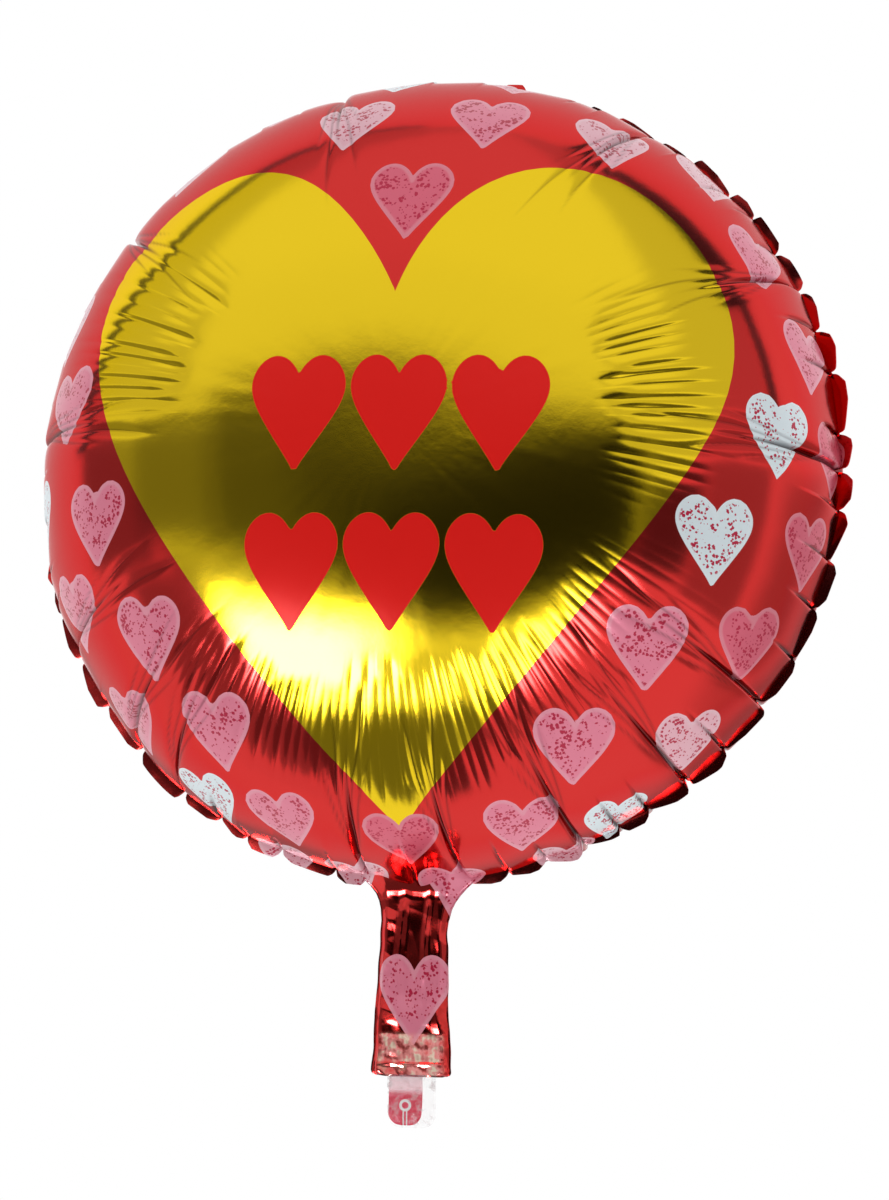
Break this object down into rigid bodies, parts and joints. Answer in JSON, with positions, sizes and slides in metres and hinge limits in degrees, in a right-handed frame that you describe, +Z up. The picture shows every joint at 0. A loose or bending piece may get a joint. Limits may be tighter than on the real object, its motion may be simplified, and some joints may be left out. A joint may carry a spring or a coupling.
{
  "type": "round foil balloon",
  "caption": "Round helium foil balloon, blown up, with a pinched rim seam, a flat foil neck that folds, and a film filling valve whose tongue bends and opens.",
  "frame": {"origin": "the lowest point of the rim seam, in the middle of the neck's top, where the neck is tied", "axes": "+Z up through the middle of the balloon, front face to -Y, +X to the right seen from the front; the neck and its filling tongue hang along -Z"},
  "size_m": [0.3524, 0.1954, 0.4454],
  "materials": {
    "front_foil": "gloss",
    "back_foil": "gloss",
    "sealed_foil": "gloss",
    "neck_foil": "gloss",
    "valve_film": "gloss",
    "valve_weld": "gloss",
    "release_coat": "satin"
  },
  "bodies": {
    "balloon": {"front_panel": "front_foil", "back_panel": "back_foil", "rim_seam": "sealed_foil", "sleeve_front_film": "valve_film", "sleeve_back_film": "valve_film", "sleeve_side_welds": "valve_weld"},
    "neck": {"neck_front": "neck_foil", "neck_back": "neck_foil", "neck_weld": "valve_weld", "valve_front_film": "valve_film", "valve_back_film": "valve_film", "valve_side_welds": "valve_weld", "release_coat": "release_coat"},
    "tongue": {"tongue_back_film": "valve_film", "tongue_front_film": "valve_film", "tongue_side_welds": "valve_weld", "tongue_coat": "release_coat"},
    "lip": {"front_lip": "valve_film"}
  },
  "joints": [
    {"name": "neck_fold", "type": "hinge", "parent": "balloon", "child": "neck", "pos_m": [0, 0, -0.0035], "axis": [-1, 0, 0], "range_deg": [-80, 80]},
    {"name": "tongue_bend", "type": "hinge", "parent": "neck", "child": "tongue", "pos_m": [0, 0, -0.0812], "axis": [-1, 0, 0], "range_deg": [-75, 75]},
    {"name": "mouth_open", "type": "hinge", "parent": "tongue", "child": "lip", "pos_m": [0, -0.00052, -0.0855], "axis": [-1, 0, 0], "range_deg": [0, 40]}
  ]
}
